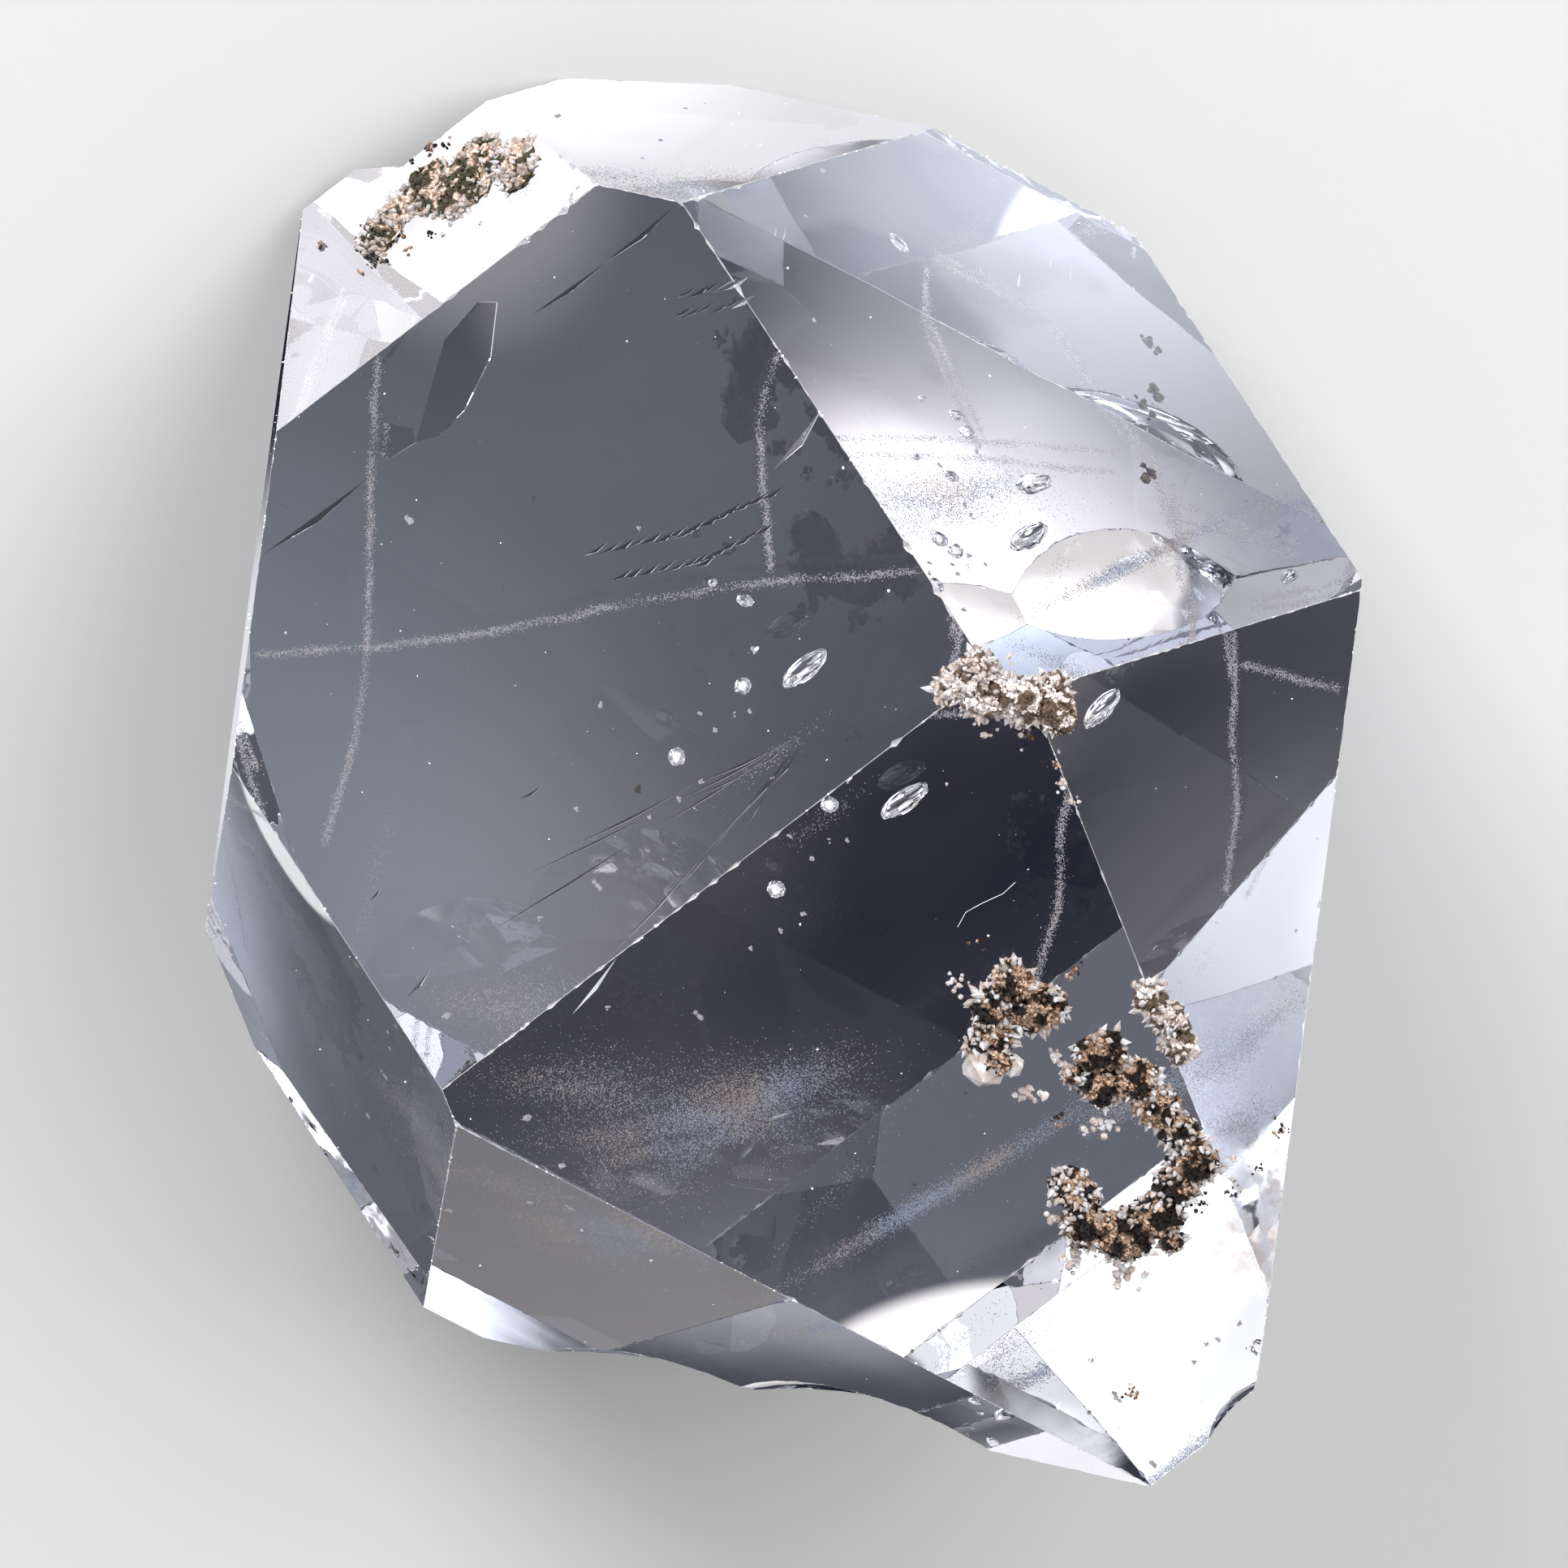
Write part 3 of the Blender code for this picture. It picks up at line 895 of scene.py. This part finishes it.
def crystal_material(name, clear, stain, frost):
    """Quartz that is cloudy and stained in patches."""
    made = bpy.data.materials.new(name)
    made.use_nodes = True
    tree = made.node_tree
    shader = tree.nodes["Principled BSDF"]
    shader.inputs["IOR"].default_value = QUARTZ_IOR
    shader.inputs["Transmission Weight"].default_value = MILKY_CLARITY
    cloud = patch(tree, 0.14, 0.38, 0.58)
    tree.links.new(blend_color(tree, cloud, clear, stain), shader.inputs["Base Color"])
    tree.links.new(combine(tree, "MULTIPLY", cloud, frost), shader.inputs["Roughness"])
    return made


# dark, middle and light
brown_crust = crust_material(
    "brown_crust", (0.007, 0.0045, 0.003), (0.070, 0.034, 0.017), (0.36, 0.25, 0.18)
)
gold_crust = crust_material("gold_crust", (0.035, 0.030, 0.018), (0.22, 0.14, 0.09), (0.58, 0.46, 0.40))
pale_crust = crust_material("pale_crust", (0.075, 0.050, 0.034), (0.34, 0.27, 0.23), (0.66, 0.62, 0.62))
milky_quartz = crystal_material("milky_quartz", (0.92, 0.91, 0.94), (0.70, 0.59, 0.53), 0.30)
print("crust materials:", [made.name for made in (brown_crust, gold_crust, pale_crust, milky_quartz)])

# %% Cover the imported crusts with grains
GRAIN_RADIUS = 0.036  # mm
GRAINS_PER_MM2 = 340
POINTS_PER_MM2 = 210
CORE_INSET = 0.03 * MM
CORE_FACING = -0.1  # a side of the crust that faces the crystal more than this gets no grains
POINT_WIDTHS = (0.03, 0.078)  # mm
FOOT_HEIGHT = 0.10 * MM  # below this the crust is pale points, above it mostly dark grains

crust_materials = {
    "ridge_crust": gold_crust, "corner_crust": pale_crust, "druse_crust": brown_crust,
    "crescent_crust": brown_crust, "edge_crust": pale_crust,
}


def place_on_crust(surface, rng):
    """A point on the crust that doesn't face the crystal, with the height it stands at."""
    while True:
        place, normal = surface.point(rng)
        foot, face_normal, _, _ = crystal_tree.find_nearest(place)
        if normal.dot(face_normal) > CORE_FACING:
            return place, normal, (place - foot).length


def cover(node, material, rng):
    surface = Surface(node)
    grains = bmesh.new()
    grains.from_mesh(surface.mesh)
    grains.normal_update()
    for vertex in grains.verts:
        vertex.co -= vertex.normal * CORE_INSET
    points = bmesh.new()
    area = surface.totals[-1] / MM**2
    for _ in range(int(area * GRAINS_PER_MM2)):
        place, normal, _ = place_on_crust(surface, rng)
        size = GRAIN_RADIUS * MM * rng.uniform(0.45, 1.4)
        grain_lump(grains, place - normal * size * 0.45, size, rng)
    for _ in range(int(area * POINTS_PER_MM2)):
        place, normal, height = place_on_crust(surface, rng)
        if height > FOOT_HEIGHT * rng.uniform(0.6, 1.7):
            continue
        tilt = Vector((rng.gauss(0, 0.5) for _ in range(3)))
        width = rng.uniform(*POINT_WIDTHS) * MM
        quartz_point(points, place - normal * width * 0.5, (normal + tilt).normalized(), width,
                     width * rng.uniform(1.1, 2.1), rng.uniform(0, 1))
    print(node, "area mm2:", round(area, 2), "faces:", len(grains.faces), "+", len(points.faces))
    heap = object_from(grains, f"{node}_grains", material)
    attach(heap, "root")
    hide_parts(node)
    tips = object_from(points, f"{node}_points", milky_quartz)
    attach(tips, "root")


rng = random.Random(11)
for name, material in crust_materials.items():
    cover(name, material, rng)

# %% [markdown]
# ## Loose grains round the crusts
# Where a crust thins out it breaks into single grains, and pale quartz points ring it. They are
# too small for solids of their own, so they are sprinkled straight onto the faces. Each spot is a
# place in the photograph, and every grain is dropped along its own line of sight onto the face.

# %% Sprinkle grains and points
# x, y and radius of each spot in the photograph's pixels, how many, and the grains' size in mm
BROWN_SPOTS = [
    (475, 292, 30, 60, 0.034), (455, 320, 14, 20, 0.026), (395, 305, 9, 9, 0.024), (532, 290, 8, 9, 0.024),
    (530, 182, 26, 26, 0.026), (1325, 1195, 12, 16, 0.026), (1305, 1378, 10, 12, 0.026),
    (1268, 905, 14, 16, 0.024), (1300, 940, 9, 9, 0.020), (1205, 1160, 14, 12, 0.024),
    (1475, 1446, 22, 26, 0.030), (1520, 1470, 16, 14, 0.022), (1480, 1480, 16, 14, 0.022),
    (1578, 1392, 14, 14, 0.024), (1395, 1715, 12, 14, 0.022), (1550, 1440, 12, 9, 0.020),
]
PALE_SPOTS = [
    (635, 208, 26, 34, 0.050), (560, 262, 30, 16, 0.045), (1235, 868, 62, 46, 0.050),
    (1310, 965, 12, 10, 0.040), (1322, 990, 8, 6, 0.036), (1262, 1345, 20, 16, 0.060),
    (1337, 1392, 12, 8, 0.050), (1365, 1385, 16, 12, 0.055), (1300, 1500, 16, 16, 0.050),
    (1325, 1550, 22, 24, 0.055), (1385, 1565, 26, 26, 0.055), (1440, 1530, 20, 14, 0.050),
    (1470, 1400, 20, 16, 0.050), (1350, 1335, 20, 14, 0.050), (1300, 1300, 14, 10, 0.050),
    (1180, 1210, 16, 12, 0.045), (1200, 1270, 16, 12, 0.045), (1415, 1215, 18, 16, 0.045),
    (1450, 1300, 12, 10, 0.045), (1500, 1440, 26, 20, 0.045),
]


def drop(x, y, radius, rng):
    """A random place on the crystal near a pixel, closer ones more likely."""
    place = None
    while place is None:
        reach = radius * rng.gauss(0, 0.55)
        angle = rng.uniform(0, math.pi)
        place, normal = on_face(x + reach * math.cos(angle), y + reach * math.sin(angle))
    return place, normal


loose = bmesh.new()
rng = random.Random(23)
for x, y, radius, count, size in BROWN_SPOTS:
    for _ in range(count):
        place, normal = drop(x, y, radius, rng)
        lump_size = size * MM * rng.uniform(0.5, 1.3)
        grain_lump(loose, place + normal * lump_size * 0.6, lump_size, rng)
loose_grains = object_from(loose, "loose_grains", brown_crust)
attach(loose_grains, "root")

pale = bmesh.new()
for x, y, radius, count, size in PALE_SPOTS:
    for _ in range(count):
        place, normal = drop(x, y, radius, rng)
        tilt = Vector((rng.gauss(0, 0.6) for _ in range(3)))
        width = size * MM * rng.uniform(0.6, 1.5)
        direction = (normal + tilt).normalized()
        quartz_point(pale, place, direction, width, width * rng.uniform(0.7, 1.5), rng.random())
print("loose grains:", len(loose_grains.data.polygons) // 20, "pale points:", len(pale.faces) // 14)

# %% The hexagonal druse crystal
DRUSE_PLACE = (1214, 1310)
DRUSE_CRYSTALS = ((0.00, 0.46, 0.30), (0.26, 0.24, 0.22))  # mm to the right, width, length
for aside, width, length in DRUSE_CRYSTALS:
    offset = view_right * aside * MM
    place, normal = on_face(*DRUSE_PLACE)
    lean = (normal * 1.0 + view_up * -0.45 + view_right * -0.1).normalized()
    quartz_point(pale, place + offset - lean * 0.02 * MM, lean, width * MM, length * MM, 0.3)
pale_points = object_from(pale, "pale_points", milky_quartz)
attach(pale_points, "root")
print("druse crystals:", len(DRUSE_CRYSTALS))

# %% [markdown]
# ## Threads and veils in the quartz
# Pale lilac threads cross the inside of the crystal, close to its hidden faces, and faint clouds
# hang in it. Both are healed cracks: droplets far too small to see one by one. A smooth tube would
# look like wire, so thousands of tiny eight-sided droplets are strewn along each line or cloud.

# %% Droplets along threads
# points of each thread in the photograph's pixels
THREADS = {
    "left": [(465, 440), (458, 560), (455, 680), (455, 790), (430, 945), (400, 1040)],
    "level": [
        (318, 806), (455, 800), (580, 782), (700, 760), (820, 735), (910, 720), (1000, 712), (1128, 706),
    ],
    "right": [(958, 435), (935, 520), (940, 600), (950, 700)],
    "long": [(1150, 320), (1290, 390), (1340, 480), (1420, 580), (1440, 650)],
    "corner": [(1520, 780), (1520, 900), (1525, 1000), (1510, 1100)],
    "cross": [(1530, 820), (1650, 850)],
}
THREAD_SHARE = 0.97
DROPLETS_PER_MM = 900
DROPLET_SIZE = 0.0062 * MM
THREAD_SPREAD = 0.024 * MM
THREAD_WANDER = 0.030 * MM
WIDE_WANDER = 0.5 * MM
SMALL_WANDER = 0.12 * MM
GAP_SIZE = 0.45 * MM  # a thread fades and comes back at about this distance
DROPLET = (
    [Vector(corner) for corner in ((1, 0, 0), (0, 1, 0), (-1, 0, 0), (0, -1, 0), (0, 0, 1), (0, 0, -1))],
    [(0, 1, 4), (1, 2, 4), (2, 3, 4), (3, 0, 4), (1, 0, 5), (2, 1, 5), (3, 2, 5), (0, 3, 5)],
)


def within_solids(place, margin):
    """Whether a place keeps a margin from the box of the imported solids."""
    return all(low + margin < part < high - margin for low, part, high in zip(cad_low, place, cad_high))


def cloud_offset(rng, spread):
    return Vector((rng.gauss(0, spread) for _ in range(3)))


def thread(bm, pixels, rng):
    places = [inside(x, y, THREAD_SHARE)[0] for x, y in pixels]
    for a, b in zip(places, places[1:]):
        for _ in range(int((b - a).length / MM * DROPLETS_PER_MM)):
            place = a.lerp(b, rng.random())
            strength = 0.85 + noise.noise(place / GAP_SIZE)
            if rng.random() > strength:
                continue
            wander = noise.noise_vector(place / WIDE_WANDER)
            wander += noise.noise_vector(place / SMALL_WANDER) * 0.25
            centre = place + wander * THREAD_WANDER + cloud_offset(rng, THREAD_SPREAD)
            if within_solids(centre, 2 * DROPLET_SIZE):
                grain_lump(bm, centre, DROPLET_SIZE * rng.uniform(0.5, 1.4), rng, shape=DROPLET)


def droplet_material_with_painted_glow(name, first, second, size, glow):
    """Droplets would mirror light that a renderer's lamps don't bring inside, so a painted glow stands in for
    it.
    """
    made = plain_material(name, (*first, 1), 0.6)
    tree = made.node_tree
    tint = patch(tree, size, 0.35, 0.65)
    shader = tree.nodes["Principled BSDF"]
    color = blend_color(tree, tint, first, second)
    tree.links.new(color, shader.inputs["Base Color"])
    # the emission is painted light: each droplet glows in its own colour in place of mirrored light
    tree.links.new(color, shader.inputs["Emission Color"])
    shader.inputs["Emission Strength"].default_value = glow
    return made


# a glow of 0.17 paints light into the threads and into the pale specks that share this material
glowing_pale_threads = droplet_material_with_painted_glow("glowing_pale_threads", (0.78, 0.75, 0.84), (0.84, 0.78, 0.78), 0.5, 0.17)
threads = bmesh.new()
rng = random.Random(31)
for pixels in THREADS.values():
    thread(threads, pixels, rng)
print("thread droplets:", len(threads.faces) // 8)
thread_strings = object_from(threads, "glowing_pale_threads", glowing_pale_threads)
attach(thread_strings, "root")

# %% Veils of droplets
# middle of each veil in the photograph's pixels, share of the way in, length and width in pixels,
# turn, droplets, and how streaky it is
VEILS = [
    (845, 1392, 0.55, 260, 95, 12, 17000, 0.9),
    (950, 1345, 0.55, 150, 50, 20, 6000, 0.6),
    (700, 1335, 0.55, 150, 45, 0, 3000, 0.5),
    (1145, 1478, 0.55, 330, 13, 31, 8000, 0.3),
    (1530, 1285, 0.50, 170, 22, 38, 4500, 0.3),
    (372, 1215, 0.50, 150, 8, 98, 500, 0.3),
    (1020, 1005, 0.45, 90, 12, 35, 300, 0.3),
]
VEIL_DROPLET = 0.0042 * MM
VEIL_DEPTH = 0.04 * MM
STREAK_SIZE = (110, 12)  # pixels along a streak and across it
SPLINTER = (
    [Vector(corner) for corner in ((1, 1, 1), (-1, -1, 1), (-1, 1, -1), (1, -1, -1))],
    [(0, 1, 2), (0, 3, 1), (0, 2, 3), (1, 3, 2)],
)


def veil(bm, x, y, share, length, width, turn, count, streaky, rng):
    angle = math.radians(turn)
    for _ in range(count):
        along = rng.gauss(0, 0.36) * length
        aside = rng.gauss(0, 0.36) * width
        streak = noise.noise(Vector((along / STREAK_SIZE[0], aside / STREAK_SIZE[1], x)))
        if streak < rng.uniform(-1, 0.4) * (1 - streaky) - 0.1:
            continue
        across = along * math.cos(angle) - aside * math.sin(angle)
        up = along * math.sin(angle) + aside * math.cos(angle)
        if on_face(x + across, y - up)[0] is None:
            continue
        centre, _ = inside(x + across, y - up, share)
        centre += cloud_offset(rng, VEIL_DEPTH)
        grain_lump(bm, centre, VEIL_DROPLET * rng.uniform(0.5, 1.4), rng, shape=SPLINTER)


veils = bmesh.new()
for place in VEILS:
    veil(veils, *place, rng)
print("veil droplets:", len(veils.faces) // 4)
# a glow of 0.10 paints light into the veil droplets
glowing_veil_droplets = droplet_material_with_painted_glow("soft_veils", (0.80, 0.68, 0.62), (0.64, 0.72, 0.84), 0.9, 0.10)
soft_veils = object_from(veils, "soft_veils", glowing_veil_droplets)
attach(soft_veils, "root")

# %% [markdown]
# ## Specks and dust
# Inside are soft specks, a few dark pebbles, and white lumps in two of the bubbles that glow as their
# painted highlights; outside lies fine white dust. A crystal with a clean skin looks like glass from a
# mould, so the dust matters more than its size suggests.

# %% Specks inside
# place in the photograph, share of the way in, size in mm
PALE_SPECKS = [
    (505, 640, 0.6, 0.05), (735, 1090, 0.9, 0.055), (550, 1252, 0.7, 0.05), (693, 1437, 0.3, 0.04),
    (740, 868, 0.6, 0.04), (787, 650, 0.6, 0.03), (710, 997, 0.6, 0.03), (665, 1130, 0.6, 0.03),
    (835, 985, 0.92, 0.03), (865, 965, 0.92, 0.035), (800, 1005, 0.92, 0.03), (925, 800, 0.90, 0.045),
    (905, 880, 0.88, 0.035), (880, 900, 0.9, 0.03), (862, 880, 0.85, 0.03), (925, 876, 0.9, 0.03),
]
# white lumps that glow strongly: painted highlights of the bubbles they sit in
PAINTED_GLINTS = [(915, 845, 0.82, 0.068), (833, 932, 0.93, 0.072), (932, 800, 0.9, 0.032)]
DARK_SPECKS = [
    (787, 972, 0.02, 0.05), (1408, 495, 0.8, 0.10), (1415, 580, 0.8, 0.11), (1420, 512, 0.8, 0.07),
]


def speck(bm, x, y, share, size, rng):
    centre, _ = inside(x, y, share)
    for _ in range(4):
        offset = Vector((rng.gauss(0, 0.4) for _ in range(3))) * size * MM
        grain_lump(bm, centre + offset, size * MM * rng.uniform(0.3, 0.8), rng)


light_specks = bmesh.new()
for place in PALE_SPECKS:
    speck(light_specks, *place, rng)
dark_specks = bmesh.new()
for place in DARK_SPECKS:
    speck(dark_specks, *place, rng)
painted_glint_dots = bmesh.new()
for x, y, share, size in PAINTED_GLINTS:
    grain_lump(painted_glint_dots, inside(x, y, share)[0], size * MM, rng, 0.06, ball_shape(3))
# a glow of 0.8 makes these white lumps painted highlights
painted_glint_white = droplet_material_with_painted_glow("painted_glint_dots", (0.97, 0.97, 0.99), (0.93, 0.90, 0.90), 0.1, 0.8)
for name, mesh, material, slot in (
    ("pale_specks", light_specks, glowing_pale_threads, "clear_quartz"),
    ("dark_pebbles", dark_specks, brown_crust, "brown_crust"),
    ("painted_glint_dots", painted_glint_dots, painted_glint_white, "clear_quartz"),
):
    made = object_from(mesh, name, material)
    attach(made, "root")
print("specks:", len(PALE_SPECKS) + len(PAINTED_GLINTS) + len(DARK_SPECKS))

# %% Dust on the faces
DUST_COUNT = 700
DUST_SIZE = 0.007 * MM
CRUMBS_PER_MM = 22
FIBRE = [(1180, 1142), (1190, 1124), (1210, 1113), (1236, 1101), (1251, 1087)]  # a hair, in pixels
FIBRE_SIZE = 0.003 * MM
CRUMB_GROUP = 0.5 * MM  # crumbs on an edge come in groups about this far apart

white_dust = plain_material("white_dust", (0.86, 0.86, 0.88, 1), 0.8)
tree = white_dust.node_tree
grey = patch(tree, 0.8, 0.3, 0.7)
tree.links.new(
    blend_color(tree, grey, (0.88, 0.88, 0.90), (0.70, 0.66, 0.64)),
    tree.nodes["Principled BSDF"].inputs["Base Color"],
)

dust = bmesh.new()
skin = Surface("crystal")
for _ in range(DUST_COUNT):
    place, normal = skin.point(rng)
    size = DUST_SIZE * (0.4 + 1.8 * rng.random() ** 4)
    if within_solids(place, size * 2):
        grain_lump(dust, place + normal * size * 0.3, size, rng)
for a, b, outward in long_edges:
    for _ in range(int((b - a).length / MM * CRUMBS_PER_MM)):
        place = a.lerp(b, rng.random())
        if rng.random() > 0.25 + noise.noise(place / CRUMB_GROUP) * 1.6:
            continue
        size = DUST_SIZE * (0.5 + 2.2 * rng.random() ** 3)
        if within_solids(place, size * 2):
            grain_lump(dust, place - outward.normalized() * size * 0.5, size, rng)
for start, end in zip(FIBRE, FIBRE[1:]):
    a, b = on_face(*start)[0], on_face(*end)[0]
    steps = int((b - a).length / FIBRE_SIZE)
    for step in range(steps):
        grain_lump(dust, a.lerp(b, step / steps), FIBRE_SIZE, rng)
dust_specks = object_from(dust, "surface_dust", white_dust)
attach(dust_specks, "root")
print("dust specks:", len(dust_specks.data.polygons) // 20)

# %% [markdown]
# ## Light paths
# A ray is mirrored many times inside a crystal before it leaves. With too few bounces it would end
# in black, so the limits are well above Blender's own. The plain view transform keeps whites white.

# %% Light paths
settings = bpy.context.scene.cycles
settings.max_bounces = 16
settings.glossy_bounces = 14
settings.transmission_bounces = 16
settings.transparent_max_bounces = 16
bpy.context.scene.view_settings.view_transform = "Standard"
bpy.context.scene.view_settings.look = "None"
print("bounces:", settings.max_bounces)
